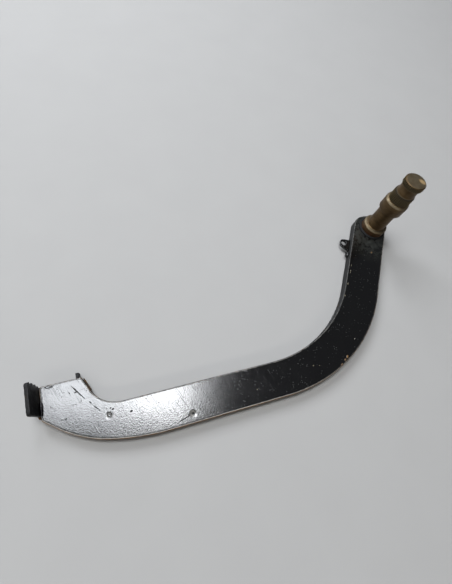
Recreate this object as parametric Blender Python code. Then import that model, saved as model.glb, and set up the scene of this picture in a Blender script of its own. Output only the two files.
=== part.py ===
"""Welded foot lever with a cross shaft, as separate solids: plate arm, pivot shaft,
spring hook, serrated tread, heel tab and the weld beads that hold them.

Axes: the shaft's axis is Z and passes through the origin. Z = 0 is the back of the
plate arm, on which the lever lies flat. X runs along the arm's long straight stretch,
with the tread at its -X end. Lengths are written in millimetres times MM.
"""

import math

import bmesh
import bpy
from mathutils import Matrix, Vector

MM = 0.001
GAP = 0.3 * MM                # clearance between pieces that touch or are welded
FACET = 0.03 * MM             # how far a facet may stand off its true arc

# Plate arm
ARM_THICKNESS = 8.0 * MM
ARM_RIM = 0.4 * MM            # rounding of the plate's long edges
ARM_REACH = 278.6 * MM        # from the shaft's axis to the arm's end, along X
ARM_DROP = 104.5 * MM         # from the axis to the middle of the long straight stretch
RUN_WIDTH = 24.6 * MM
PIVOT_ANGLE = math.radians(56.7)   # direction of the short stretch up to the shaft
PIVOT_WIDTH = 27.8 * MM
PIVOT_FLARE = 1.0 * MM        # how much wider the inner edge gets at the head
PIVOT_OFFSET = -1.3 * MM      # middle of the short stretch, off the shaft's axis
HEAD_REACH = 12.8 * MM        # from the axis to the end of the head
HEAD_RADIUS = PIVOT_WIDTH / 2.0
BEND_INNER_RADIUS = 95.0 * MM
BEND_OUTER_RADIUS = 119.0 * MM
FOOT_LENGTH = 24.3 * MM       # from the arm's end to the heel's corner
FOOT_RISE = 20.2 * MM         # of the foot above the long stretch's upper edge
NOTCH_ANGLE = math.radians(66.0)
NOTCH_RADIUS = 20.0 * MM
CORNER_RADIUS = 1.2 * MM
BELLY_START = 53.7 * MM       # from the arm's end to where the underside sweeps up
BELLY_FLAT = 0.5 * MM         # between its two curves
BELLY_ANGLES = (math.radians(14.0), math.radians(39.0))
BELLY_RADII = (150.0 * MM, 71.0 * MM)

# Pivot shaft
SHANK_RADIUS = 7.5 * MM
COLLAR_RADIUS = 10.4 * MM
COLLAR_HEIGHT = 5.9 * MM
COLLAR_CHAMFER = 1.15 * MM
WAIST_RADIUS = 7.6 * MM
WAIST_LENGTH = 20.9 * MM
WAIST_FILLET = 1.6 * MM
JOURNAL_RADIUS = 9.85 * MM
JOURNAL_LENGTH = 9.5 * MM
JOURNAL_CHAMFER = 1.2 * MM
SPLINE_RADIUS = 8.45 * MM
SPLINE_TEETH = 34
SPLINE_DEPTH = 0.75 * MM
INNER_SPLINE_LENGTH = 9.2 * MM
SPLINE_CHAMFER = 1.2 * MM
NECK_RADIUS = 7.45 * MM
NECK_LENGTH = 7.1 * MM
OUTER_SPLINE_LENGTH = 4.4 * MM
END_CHAMFER = 0.75 * MM
ROUND_SEGMENTS = 2 * SPLINE_TEETH

# Welds of the shaft
FRONT_WELD_WIDTH = 1.7 * MM
FRONT_WELD_HEIGHT = 2.0 * MM
BACK_WELD_DEPTH = 2.2 * MM    # of the countersink
BACK_WELD_FILL = 1.4 * MM
BACK_WELD_WIDTH = 2.4 * MM
WELD_RIPPLE = 0.12 * MM
RING_WELD_RIPPLES = 19

# Spring hook: (outward from the arm's inner edge, along the arm from the axis)
HOOK_THICKNESS = 1.9 * MM
HOOK_Z = 3.2 * MM
HOOK_ROOT = (-18.8 * MM, -31.2 * MM)
HOOK_TIP = ((9.3 * MM, -20.7 * MM, 3.2 * MM), (8.3 * MM, -27.6 * MM, 2.6 * MM))
HOOK_EYE = (5.5 * MM, -24.2 * MM)
HOOK_EYE_RADIUS = 2.3 * MM
HOOK_EDGE = 0.35 * MM
HOOK_WELD_LENGTH = 6.0 * MM
HOOK_WELD_WIDTH = 4.4 * MM
HOOK_WELD_HEIGHT = 2.4 * MM

# Serrated tread
TREAD_THICKNESS = 2.3 * MM
TREAD_HEIGHT = 21.1 * MM      # along the plate, from the level of the arm's back
TREAD_CURL = math.radians(18.0)    # lean of the free end, away from the arm
TREAD_LOW_INSET = 3.3 * MM    # from the arm's lower corner to the tread's
TREAD_PROUD = 0.1 * MM        # of the tips of the teeth above the foot
TREAD_SPLAY = 0.7 * MM        # how much lower the free end's corner is
TREAD_RISE = 1.5 * MM         # how much higher the last tooth is than the first
TREAD_SLANT = 1.2 * MM        # how much shorter the plate is at that corner
TREAD_TEETH = 4
TOOTH_PITCH = 3.75 * MM
TOOTH_DEPTH = 2.2 * MM
TREAD_CORNER = 2.0 * MM
TREAD_EDGE = 0.35 * MM
TREAD_STRIPS = 8              # flat strips that make its curve
TREAD_WELD_WIDTH = 1.7 * MM
TREAD_WELD_HEIGHT = 1.3 * MM
TREAD_WELD_LENGTH = 8.5 * MM
TREAD_WELD_INSET = -0.9 * MM  # from the tread's lower edge to the bead
TREAD_LOWER_WELD_HEIGHT = 1.5 * MM

# Heel tab
TAB_WIDTH = 2.2 * MM
TAB_HEIGHT = 3.5 * MM
TAB_DEPTH = 4.6 * MM
TAB_INSET = 1.4 * MM          # from the heel's corner to the tab
TAB_EDGE = 0.4 * MM
HEEL_WELD_START = 0.2 * MM    # from the heel's corner
HEEL_WELD_LENGTH = 10.0 * MM
HEEL_WELD_WIDTH = 5.0 * MM    # across the plate's edge
HEEL_WELD_HEIGHT = 0.6 * MM


def clear_scene():
    for old in list(bpy.data.objects):
        bpy.data.objects.remove(old)


def paint(name, rgb, roughness, metallic):
    """A plain Principled material."""
    material = bpy.data.materials.new(name)
    material.use_nodes = True
    shader = material.node_tree.nodes["Principled BSDF"]
    shader.inputs["Base Color"].default_value = (*rgb, 1.0)
    shader.inputs["Roughness"].default_value = roughness
    shader.inputs["Metallic"].default_value = metallic
    return material


def add_object(name, mesh_builder, material, smooth_angle=30.0):
    """Turns a bmesh into a linked, shaded object and frees the bmesh."""
    mesh = bpy.data.meshes.new(name)
    bmesh.ops.recalc_face_normals(mesh_builder, faces=mesh_builder.faces)
    mesh_builder.to_mesh(mesh)
    mesh_builder.free()
    mesh.shade_smooth()
    mesh.set_sharp_from_angle(angle=math.radians(smooth_angle))
    mesh.materials.append(material)
    piece = bpy.data.objects.new(name, mesh)
    bpy.context.scene.collection.objects.link(piece)
    return piece


def add_bevel(piece, width, segments, angle=40.0):
    bevel = piece.modifiers.new("rounded_edges", "BEVEL")
    bevel.width = width
    bevel.segments = segments
    bevel.limit_method = "ANGLE"
    bevel.angle_limit = math.radians(angle)
    return bevel


def cut(piece, cutter):
    """Subtracts a hidden cutter object from a piece."""
    cutter.hide_render = True
    cutter.display_type = "WIRE"
    boolean = piece.modifiers.new("cut_" + cutter.name, "BOOLEAN")
    boolean.operation = "DIFFERENCE"
    boolean.solver = "EXACT"
    boolean.object = cutter


def arc_steps(radius, turn):
    facet_turn = 2.0 * math.acos(max(0.0, 1.0 - FACET / radius))
    return max(3, math.ceil(turn / facet_turn))


def rounded_outline(corners):
    """Points of a closed outline whose corners (x, y, radius) are rounded with arcs."""
    points = []
    for index, (x, y, radius) in enumerate(corners):
        corner = Vector((x, y))
        before = (Vector(corners[index - 1][:2]) - corner).normalized()
        after = (Vector(corners[(index + 1) % len(corners)][:2]) - corner).normalized()
        turn = math.pi - before.angle(after)
        if radius <= 0.0 or turn < 1e-3:
            points.append(corner)
            continue
        reach = radius * math.tan(turn / 2.0)
        centre = corner + (before + after).normalized() * radius / math.cos(turn / 2.0)
        start = corner + before * reach - centre
        finish = corner + after * reach - centre
        signed_turn = math.copysign(turn, start.x * finish.y - start.y * finish.x)
        steps = arc_steps(radius, turn)
        for step in range(steps + 1):
            points.append(centre + Matrix.Rotation(signed_turn * step / steps, 2) @ start)
    return points


def slab(points, place, thickness):
    """A prism: each outline point goes to place(x, y), and the face is pushed by the vector thickness."""
    builder = bmesh.new()
    face = builder.faces.new([builder.verts.new(place(*point)) for point in points])
    pushed = bmesh.ops.extrude_face_region(builder, geom=[face])["geom"]
    moved = [part for part in pushed if isinstance(part, bmesh.types.BMVert)]
    bmesh.ops.translate(builder, verts=moved, vec=thickness)
    return builder


def turned(rings, segments=ROUND_SEGMENTS, shape=None, closed=False):
    """A body of revolution about Z from rings (radius, z).

    shape(ring_index, angle) gives a radius to add. A closed one joins the last ring to
    the first, for a ring-shaped piece; an open one is capped at both ends.
    """
    builder = bmesh.new()
    loops = []
    for number, (radius, z) in enumerate(rings):
        loop = []
        for segment in range(segments):
            angle = 2.0 * math.pi * segment / segments
            reach = radius + (shape(number, angle) if shape else 0.0)
            loop.append(builder.verts.new((reach * math.cos(angle), reach * math.sin(angle), z)))
        loops.append(loop)
    pairs = list(zip(loops, loops[1:]))
    if closed:
        pairs.append((loops[-1], loops[0]))
    else:
        builder.faces.new(loops[0])
        builder.faces.new(loops[-1])
    for lower, upper in pairs:
        for segment in range(segments):
            following = (segment + 1) % segments
            builder.faces.new((lower[segment], lower[following], upper[following], upper[segment]))
    return builder


def straight(start, along, across, up, length):
    """A route for a bead along a straight seam."""
    return lambda share: (start + along * length * share, across, up)


def bead(route, width, height, stations=13, ribs=6):
    """A weld bead: flat underneath, domed on top, tapered to both ends, with a light ripple.

    route(share) gives the edge of its foot, the way across it and the way up from it.
    """
    builder = bmesh.new()
    loops = []
    for station in range(stations + 1):
        share = station / stations
        foot, across, up = route(share)
        swell = 0.08 + 0.92 * math.sqrt(1.0 - (2.0 * share - 1.0) ** 4)
        wave = WELD_RIPPLE * (1.0 if station % 2 else -1.0) * swell
        loop = []
        for rib in range(ribs + 1):
            angle = math.pi * rib / ribs
            out = 0.5 * width * (1.0 - swell * math.cos(angle))
            rise = (height * swell + wave) * math.sin(angle)
            loop.append(builder.verts.new(foot + across * out + up * rise))
        loops.append(loop)
    for near, far in zip(loops, loops[1:]):
        for rib in range(ribs):
            builder.faces.new((near[rib], near[rib + 1], far[rib + 1], far[rib]))
        builder.faces.new((near[0], far[0], far[-1], near[-1]))
    builder.faces.new(loops[0])
    builder.faces.new(loops[-1])
    return builder


# Directions of the short stretch: along it, and square to it towards the outer edge
ALONG_PIVOT = Vector((math.cos(PIVOT_ANGLE), math.sin(PIVOT_ANGLE), 0.0))
OUT_PIVOT = Vector((math.sin(PIVOT_ANGLE), -math.cos(PIVOT_ANGLE), 0.0))
PIVOT_INNER = PIVOT_OFFSET - PIVOT_WIDTH / 2.0
PIVOT_OUTER = PIVOT_OFFSET + PIVOT_WIDTH / 2.0
RUN_TOP_Y = RUN_WIDTH / 2.0 - ARM_DROP
RUN_LOW_Y = -RUN_WIDTH / 2.0 - ARM_DROP

# Corners of the foot, and the underside's sweep up to it
ARM_END_X = -ARM_REACH
HEEL_X = ARM_END_X + FOOT_LENGTH
FOOT_TOP_Y = RUN_TOP_Y + FOOT_RISE
BELLY_X = ARM_END_X + BELLY_START
BELLY_LENGTH = (
    BELLY_RADII[0] * math.tan(BELLY_ANGLES[0] / 2.0) + BELLY_FLAT
    + BELLY_RADII[1] * math.tan((BELLY_ANGLES[1] - BELLY_ANGLES[0]) / 2.0)
)
SWEEP_X = BELLY_X - BELLY_LENGTH * math.cos(BELLY_ANGLES[0])
SWEEP_Y = RUN_LOW_Y + BELLY_LENGTH * math.sin(BELLY_ANGLES[0])
ARM_END_LOW_Y = SWEEP_Y + (SWEEP_X - ARM_END_X) * math.tan(BELLY_ANGLES[1])
TREAD_LOW_Y = ARM_END_LOW_Y + TREAD_LOW_INSET
TREAD_TOP_Y = FOOT_TOP_Y + TREAD_PROUD
UP = Vector((0.0, 0.0, 1.0))


def beside_pivot(offset, along):
    """A point of the short stretch, by its offset from the axis and its place along the arm."""
    return OUT_PIVOT * offset + ALONG_PIVOT * along


def where_it_meets(offset, y):
    """X at which the line at this offset of the short stretch crosses a line of constant y."""
    return (offset - OUT_PIVOT.y * y) / OUT_PIVOT.x


def arm_corners():
    notch_x = HEEL_X + FOOT_RISE / math.tan(NOTCH_ANGLE)
    head_outer = beside_pivot(PIVOT_OUTER, HEAD_REACH)
    head_inner = beside_pivot(PIVOT_INNER - PIVOT_FLARE, HEAD_REACH)
    return [
        (ARM_END_X, ARM_END_LOW_Y, CORNER_RADIUS),
        (SWEEP_X, SWEEP_Y, BELLY_RADII[1]),
        (BELLY_X, RUN_LOW_Y, BELLY_RADII[0]),
        (where_it_meets(PIVOT_OUTER, RUN_LOW_Y), RUN_LOW_Y, BEND_OUTER_RADIUS),
        (head_outer.x, head_outer.y, HEAD_RADIUS),
        (head_inner.x, head_inner.y, HEAD_RADIUS),
        (where_it_meets(PIVOT_INNER, RUN_TOP_Y), RUN_TOP_Y, BEND_INNER_RADIUS),
        (notch_x, RUN_TOP_Y, NOTCH_RADIUS),
        (HEEL_X, FOOT_TOP_Y, CORNER_RADIUS),
        (ARM_END_X, FOOT_TOP_Y, CORNER_RADIUS),
    ]


def make_arm(black):
    builder = slab(rounded_outline(arm_corners()), lambda x, y: (x, y, 0.0), UP * ARM_THICKNESS)
    arm = add_object("lever_arm", builder, black)
    add_bevel(arm, ARM_RIM, 3)
    bore = SHANK_RADIUS + GAP
    sink = bore + BACK_WELD_WIDTH
    past = 1.0 * MM
    slope = BACK_WELD_WIDTH / BACK_WELD_DEPTH
    rings = [
        (sink + slope * past, -past),
        (bore, BACK_WELD_DEPTH),
        (bore, ARM_THICKNESS + past),
    ]
    cut(arm, add_object("shaft_hole", turned(rings), black))
    return arm


def shaft_profile():
    """Rings (radius, z, is_splined) from the shank's end at the back to the outer end."""
    rings = [(SHANK_RADIUS, 0.0, False)]
    z = ARM_THICKNESS + GAP
    rings += [(SHANK_RADIUS, z, False), (COLLAR_RADIUS, z, False)]
    z += COLLAR_HEIGHT
    rings.append((COLLAR_RADIUS, z, False))
    z += COLLAR_CHAMFER
    rings.append((COLLAR_RADIUS - COLLAR_CHAMFER, z, False))
    rings.append((WAIST_RADIUS + 0.3 * WAIST_FILLET, z, False))
    rings.append((WAIST_RADIUS, z + 0.5 * WAIST_FILLET, False))
    z += WAIST_LENGTH
    shoulder = JOURNAL_RADIUS - WAIST_RADIUS
    for turn in (0.0, 30.0, 60.0, 90.0):
        angle = math.radians(turn)
        radius = JOURNAL_RADIUS - shoulder * math.cos(angle)
        rings.append((radius, z - shoulder * (1.0 - math.sin(angle)), False))
    z += JOURNAL_LENGTH
    rings.append((JOURNAL_RADIUS, z, False))
    z += JOURNAL_CHAMFER
    rings.append((JOURNAL_RADIUS - JOURNAL_CHAMFER, z, False))
    rings.append((SPLINE_RADIUS, z + GAP, True))
    z += INNER_SPLINE_LENGTH - SPLINE_CHAMFER
    rings.append((SPLINE_RADIUS, z, True))
    z += SPLINE_CHAMFER
    rings.append((NECK_RADIUS, z, False))
    hollow = 0.25 * MM
    rings.append((NECK_RADIUS - hollow, z + 0.5 * NECK_LENGTH, False))
    z += NECK_LENGTH
    rings.append((NECK_RADIUS, z, False))
    rings.append((SPLINE_RADIUS, z + 0.5 * SPLINE_CHAMFER, True))
    z += OUTER_SPLINE_LENGTH
    rings.append((SPLINE_RADIUS, z, True))
    rings.append((SPLINE_RADIUS - 0.6 * END_CHAMFER, z + 0.25 * END_CHAMFER, False))
    rings.append((SPLINE_RADIUS - 1.4 * END_CHAMFER, z + END_CHAMFER, False))
    return rings


def make_shaft(steel):
    profile = shaft_profile()

    def tooth(ring, angle):
        """Takes the root's depth away at every second point of a splined ring."""
        if not profile[ring][2]:
            return 0.0
        point = round(angle * ROUND_SEGMENTS / (2.0 * math.pi))
        return -SPLINE_DEPTH if point % 2 else 0.0

    builder = turned([(radius, z) for radius, z, _ in profile], shape=tooth)
    return add_object("pivot_shaft", builder, steel, 35.0)


def ring_ripple(ring, angle):
    """Lifts the outer rings of a weld in short waves round the shaft."""
    return WELD_RIPPLE * math.sin(RING_WELD_RIPPLES * angle) if ring in (2, 3) else 0.0


def make_front_weld(weld):
    inner = COLLAR_RADIUS + GAP
    base = ARM_THICKNESS + GAP
    rings = [
        (inner, base),
        (inner + FRONT_WELD_WIDTH, base),
        (inner + 0.85 * FRONT_WELD_WIDTH, base + 0.45 * FRONT_WELD_HEIGHT),
        (inner + 0.5 * FRONT_WELD_WIDTH, base + 0.8 * FRONT_WELD_HEIGHT),
        (inner, base + FRONT_WELD_HEIGHT),
    ]
    return add_object("shaft_front_weld", turned(rings, shape=ring_ripple, closed=True), weld)


def make_back_weld(weld):
    """Fills the countersink between the shaft's end and the plate, level with its back."""
    inner = SHANK_RADIUS + GAP
    slope = BACK_WELD_WIDTH / BACK_WELD_DEPTH
    outer = inner + BACK_WELD_WIDTH - GAP * math.hypot(1.0, slope)
    rings = [
        (inner, 0.0),
        (outer, 0.0),
        (outer - slope * BACK_WELD_FILL, BACK_WELD_FILL),
        (inner, BACK_WELD_FILL),
    ]
    return add_object("shaft_back_weld", turned(rings, closed=True), weld)


def inner_edge(along):
    """Offset of the arm's inner edge, which flares a little from the bend to the head."""
    bend = Vector((where_it_meets(PIVOT_INNER, RUN_TOP_Y), RUN_TOP_Y, 0.0)).dot(ALONG_PIVOT)
    return PIVOT_INNER - PIVOT_FLARE * (along - bend) / (HEAD_REACH - bend)


def off_inner_edge(out, along, z):
    """A point that stands out from the arm's inner edge by GAP and out."""
    return beside_pivot(inner_edge(along) - GAP - out, along) + UP * z


def make_hook(black):
    """A lug with an eye for the return spring, on the arm's inner edge."""
    corners = [(0.0, HOOK_ROOT[1], 0.5 * MM), (0.0, HOOK_ROOT[0], 0.5 * MM), *HOOK_TIP]
    points = rounded_outline(corners)
    builder = slab(points, lambda out, along: off_inner_edge(out, along, HOOK_Z), UP * HOOK_THICKNESS)
    hook = add_object("spring_hook", builder, black)
    add_bevel(hook, HOOK_EDGE, 2)
    past = 1.0 * MM
    eye = turned([(HOOK_EYE_RADIUS, -past), (HOOK_EYE_RADIUS, HOOK_THICKNESS + past)], 24)
    bmesh.ops.translate(eye, verts=eye.verts, vec=off_inner_edge(*HOOK_EYE, HOOK_Z))
    cut(hook, add_object("hook_eye", eye, black))


def make_hook_weld(weld):
    """A lump of weld under the hook's root."""
    low = (ARM_THICKNESS - HOOK_WELD_WIDTH) / 2.0
    start = off_inner_edge(0.0, HOOK_ROOT[1] - GAP, low)
    route = straight(start, -ALONG_PIVOT, UP, -OUT_PIVOT, HOOK_WELD_LENGTH)
    add_object("spring_hook_weld", bead(route, HOOK_WELD_WIDTH, HOOK_WELD_HEIGHT, 7), weld)


def tread_outline():
    """Corners of the flat tread (y, distance from the arm's back), with teeth on its upper side."""
    corners = [
        (TREAD_LOW_Y, 0.0, 0.6 * MM),
        (TREAD_TOP_Y, 0.0, 0.6 * MM),
    ]
    first = TREAD_HEIGHT - TREAD_TEETH * TOOTH_PITCH
    step = TREAD_RISE / TREAD_TEETH
    for tooth in range(TREAD_TEETH):
        root = first + tooth * TOOTH_PITCH
        tip_y = TREAD_TOP_Y + tooth * step
        corners.append((tip_y, root - 0.05 * TOOTH_PITCH, 0.0))
        corners.append((tip_y - TOOTH_DEPTH, root + 0.2 * TOOTH_PITCH, 0.3 * MM))
        corners.append((tip_y + step, root + 0.5 * TOOTH_PITCH, 0.0))
    corners.append((TREAD_TOP_Y + TREAD_RISE, TREAD_HEIGHT, TREAD_CORNER))
    corners.append((TREAD_LOW_Y - TREAD_SPLAY, TREAD_HEIGHT - TREAD_SLANT, TREAD_CORNER))
    return corners


def make_tread(black):
    """A serrated plate across the arm's end, which curls away from it beyond the arm's front."""
    inner_x = ARM_END_X - GAP
    thickness = Vector((-TREAD_THICKNESS, 0.0, 0.0))
    builder = slab(rounded_outline(tread_outline()), lambda y, z: (inner_x, y, z), thickness)
    curled = TREAD_HEIGHT - ARM_THICKNESS
    for strip in range(TREAD_STRIPS):
        level = Vector((0.0, 0.0, ARM_THICKNESS + curled * strip / TREAD_STRIPS))
        geometry = [*builder.verts, *builder.edges, *builder.faces]
        bmesh.ops.bisect_plane(builder, geom=geometry, plane_co=level, plane_no=UP)
    centre = Vector((inner_x - curled / TREAD_CURL, 0.0, ARM_THICKNESS))
    for vertex in builder.verts:
        beyond = vertex.co.z - ARM_THICKNESS
        if beyond > 0.0:
            radius = vertex.co.x - centre.x
            lean = beyond * TREAD_CURL / curled
            vertex.co.x = centre.x + radius * math.cos(lean)
            vertex.co.z = centre.z + radius * math.sin(lean)
    tread = add_object("tread_plate", builder, black)
    add_bevel(tread, TREAD_EDGE, 2)


def make_tread_welds(weld):
    across = Vector((1.0, 0.0, 0.0))
    down = Vector((0.0, -1.0, 0.0))
    top_y = TREAD_LOW_Y + TREAD_WELD_INSET + TREAD_WELD_LENGTH
    start = Vector((ARM_END_X, top_y, ARM_THICKNESS + GAP))
    route = straight(start, down, across, UP, TREAD_WELD_LENGTH)
    add_object("tread_weld_front", bead(route, TREAD_WELD_WIDTH, TREAD_WELD_HEIGHT), weld)
    edge = Vector((0.0, -TREAD_SPLAY, TREAD_HEIGHT - TREAD_SLANT)).normalized()
    off_edge = Vector((0.0, edge.z * -1.0, edge.y))
    start = Vector((ARM_END_X - GAP, TREAD_LOW_Y, 0.0)) + edge * ARM_RIM + off_edge * GAP
    route = straight(start, edge, -across, off_edge, ARM_THICKNESS - ARM_RIM)
    width = TREAD_THICKNESS - 2.0 * TREAD_EDGE
    add_object("tread_weld_lower", bead(route, width, TREAD_LOWER_WELD_HEIGHT, 7), weld)


def make_tab(black):
    """A small stub that stands up from the heel."""
    left = HEEL_X - TAB_INSET - TAB_WIDTH
    base = FOOT_TOP_Y + GAP
    corners = [
        (left, base, 0.0),
        (left + TAB_WIDTH, base, 0.0),
        (left + TAB_WIDTH, base + TAB_HEIGHT, TAB_EDGE),
        (left, base + TAB_HEIGHT, TAB_EDGE),
    ]
    low = (ARM_THICKNESS - TAB_DEPTH) / 2.0
    builder = slab(rounded_outline(corners), lambda x, y: (x, y, low), UP * TAB_DEPTH)
    add_bevel(add_object("heel_tab", builder, black), TAB_EDGE, 2)


def heel_route(share):
    """Along the notch's edge: down its straight flank, then round the start of its curve."""
    flank = Vector((math.cos(NOTCH_ANGLE), -math.sin(NOTCH_ANGLE), 0.0))
    out = Vector((math.sin(NOTCH_ANGLE), math.cos(NOTCH_ANGLE), 0.0))
    corner = Vector((HEEL_X, FOOT_TOP_Y, (ARM_THICKNESS + HEEL_WELD_WIDTH) / 2.0))
    curve = FOOT_RISE / math.sin(NOTCH_ANGLE) - NOTCH_RADIUS * math.tan(NOTCH_ANGLE / 2.0)
    travelled = HEEL_WELD_START + HEEL_WELD_LENGTH * share
    if travelled > curve:
        centre = corner + flank * curve + out * NOTCH_RADIUS
        out = Matrix.Rotation((travelled - curve) / NOTCH_RADIUS, 3, "Z") @ out
        return centre - out * (NOTCH_RADIUS - GAP), -UP, out
    return corner + flank * travelled + out * GAP, -UP, out


def main():
    clear_scene()
    black = paint("black_gloss_paint", (0.012, 0.012, 0.014), 0.2, 0.0)
    steel = paint("aged_steel", (0.16, 0.12, 0.08), 0.42, 1.0)
    weld = paint("painted_weld", (0.03, 0.022, 0.016), 0.5, 0.0)
    rust = paint("rusty_weld", (0.12, 0.055, 0.025), 0.8, 0.0)
    make_arm(black)
    make_shaft(steel)
    make_front_weld(weld)
    make_back_weld(weld)
    make_hook(black)
    make_hook_weld(weld)
    make_tread(black)
    make_tread_welds(rust)
    make_tab(black)
    add_object("heel_weld", bead(heel_route, HEEL_WELD_WIDTH, HEEL_WELD_HEIGHT), rust)


main()
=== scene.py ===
"""Finished look of a welded foot lever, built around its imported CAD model.

The lever lies flat on its back: the plate arm is in the XY plane, the cross shaft's axis
is Z, and the tread is at the -X end. All lengths are metres, written as millimetres
times MM.
"""

import math

import bmesh
import bpy
from bpy.props import FloatProperty, FloatVectorProperty, IntProperty, PointerProperty
from bpy.types import Operator, Panel, PropertyGroup
from mathutils import Matrix, Vector


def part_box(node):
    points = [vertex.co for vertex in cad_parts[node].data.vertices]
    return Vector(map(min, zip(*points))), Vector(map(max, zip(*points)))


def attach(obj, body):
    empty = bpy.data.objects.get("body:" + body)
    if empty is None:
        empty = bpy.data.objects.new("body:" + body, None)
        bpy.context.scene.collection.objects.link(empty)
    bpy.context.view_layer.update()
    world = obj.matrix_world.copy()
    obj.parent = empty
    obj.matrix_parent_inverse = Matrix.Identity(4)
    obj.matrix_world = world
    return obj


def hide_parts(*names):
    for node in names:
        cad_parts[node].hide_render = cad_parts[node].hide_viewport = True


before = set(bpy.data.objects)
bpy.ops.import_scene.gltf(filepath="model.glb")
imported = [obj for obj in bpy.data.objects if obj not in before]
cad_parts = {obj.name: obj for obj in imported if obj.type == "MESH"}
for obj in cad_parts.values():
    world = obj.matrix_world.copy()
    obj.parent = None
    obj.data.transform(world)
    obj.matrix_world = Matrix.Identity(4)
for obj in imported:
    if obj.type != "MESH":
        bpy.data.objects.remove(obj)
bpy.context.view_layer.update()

bl_info = {
    "name": "Foot Lever Looks",
    "version": (1, 0, 0),
    "blender": (4, 5, 0),
    "location": "3D View > Sidebar > Lever",
    "description": "Builds the finished surfaces, studio light and camera for a welded foot lever",
    "category": "Object",
}

MM = 0.001
GAP = 0.3 * MM                    # clearance that the frame keeps between welded pieces
BODY = "root"
ARM_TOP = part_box("lever_arm")[1].z
SHAFT_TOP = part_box("pivot_shaft")[1].z
POINTS_PER_TOOTH = 4              # two at the tip and two at the root
BACKDROP = "#C8C8C8"              # what the camera sees past the floor


def linear(hex_colour):
    """Turns an sRGB hex colour into the linear RGB that shaders take."""
    channels = [int(hex_colour[start:start + 2], 16) / 255.0 for start in (1, 3, 5)]
    return tuple(c / 12.92 if c <= 0.04045 else ((c + 0.055) / 1.055) ** 2.4 for c in channels)


def length_property(name, description, default):
    return FloatProperty(name=name, description=description, default=default, min=0.0,
                         unit="LENGTH", precision=5)


def colour_property(name, description, hex_colour):
    return FloatVectorProperty(name=name, description=description, size=3, subtype="COLOR",
                               default=linear(hex_colour), min=0.0, max=1.0)


class LeverSizes(PropertyGroup):
    """Sizes of the modelled pieces"""

    arm_voxel: length_property("Arm mesh size", "Mesh size of the plate arm", 0.52 * MM)
    small_voxel: length_property("Small mesh size", "Mesh size of the small pieces", 0.2 * MM)
    rim_wear: length_property("Rim wear", "How far nicks go into the plate's rims", 0.15 * MM)
    shank_radius: length_property("Shank", "Radius inside the plate", 7.5 * MM)
    collar_radius: length_property("Collar", "Radius of the collar on the plate", 10.4 * MM)
    collar_height: length_property("Collar height", "Height of its cylinder", 5.9 * MM)
    collar_chamfer: length_property("Collar chamfer", "Width of its chamfer", 1.15 * MM)
    waist_radius: length_property("Waist", "Radius of the relieved stretch", 7.6 * MM)
    waist_length: length_property("Waist length", "Length of the relieved stretch", 20.9 * MM)
    waist_fillet: length_property("Waist fillet", "Fillet at the collar", 1.6 * MM)
    journal_radius: length_property("Journal", "Radius of the bearing stretch", 9.85 * MM)
    journal_length: length_property("Journal length", "Length of its cylinder", 9.5 * MM)
    journal_chamfer: length_property("Journal chamfer", "Width of its chamfer", 1.2 * MM)
    spline_radius: length_property("Serrations", "Radius over the teeth", 8.45 * MM)
    spline_depth: length_property("Tooth depth", "Depth of the teeth", 0.75 * MM)
    inner_spline: length_property("Inner band", "Length of the inner serrated band", 9.2 * MM)
    spline_chamfer: length_property("Band chamfer", "Slope at the band's end", 1.2 * MM)
    neck_radius: length_property("Neck", "Radius of the neck between the bands", 7.45 * MM)
    neck_length: length_property("Neck length", "Length of the neck", 7.1 * MM)
    end_chamfer: length_property("End chamfer", "Rounding of the shaft's end", 0.75 * MM)
    weld_radius: length_property("Collar weld", "Radius of the weld round the collar", 1.25 * MM)
    spline_teeth: IntProperty(name="Teeth", description="Teeth in each serrated band",
                              default=34, min=12, max=80)


class LeverColours(PropertyGroup):
    """Colours of the finishes"""

    enamel: colour_property("Enamel", "Gloss black enamel", "#0A0A0B")
    enamel_dust: colour_property("Dusty enamel", "Film of old grease and dust", "#1F211C")
    rust: colour_property("Rust", "Dark brown rust", "#4B3217")
    rust_light: colour_property("Light rust", "Ochre rust", "#75562C")
    # Painted highlight: pale colour on the worn rims that stands in for the light they reflect
    worn_rim_highlight: colour_property("Worn rim", "Primer and steel on the plate's rims", "#BDBAB2")
    chip: colour_property("Chip", "Bare steel in a chip", "#66604F")
    steel_dark: colour_property("Dark steel", "Oxidised turned steel", "#4E3D27")
    steel: colour_property("Steel", "Aged turned steel", "#624F34")
    steel_bright: colour_property("Rubbed steel", "Steel where it has rubbed", "#827A66")
    tooth_tip: colour_property("Tooth tip", "The tips of the serrations", "#685939")
    # Painted highlight on the end face, where the light catches it
    end_face_highlight: colour_property("Worn patch", "Patch on the end face", "#D9B987")
    groove: colour_property("Grooves", "Old grease in the serrations", "#14110C")
    streak: colour_property("Streaks", "Red-brown stain on the collar", "#5A3018")
    floor: colour_property("Floor", "Plain pale floor", "#A3A2A0")


# ---------------------------------------------------------------- mesh helpers

def lone(piece):
    """Makes a piece the active object and the only selected one."""
    bpy.ops.object.select_all(action="DESELECT")
    piece.select_set(True)
    bpy.context.view_layer.objects.active = piece


def apply_modifier(piece, kind, **settings):
    lone(piece)
    modifier = piece.modifiers.new(kind.lower(), kind)
    for name, value in settings.items():
        setattr(modifier, name, value)
    bpy.ops.object.modifier_apply(modifier=modifier.name)


def roughen(piece, depth, size, group=""):
    """Moves a surface in and out by cloudy noise; depth is the whole travel, size the lumps."""
    noise = bpy.data.textures.new(piece.name + "_lumps", "CLOUDS")
    noise.noise_scale = size
    noise.noise_depth = 2
    apply_modifier(piece, "DISPLACE", texture=noise, texture_coords="LOCAL", strength=depth,
                   mid_level=0.5, vertex_group=group)


def pick(piece, wanted):
    """Selects, in edit mode, just the vertices that pass the test."""
    mesh = bmesh.from_edit_mesh(piece.data)
    for vertex in mesh.verts:
        vertex.select = wanted(vertex)
    mesh.select_flush_mode()
    bmesh.update_edit_mesh(piece.data)


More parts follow.
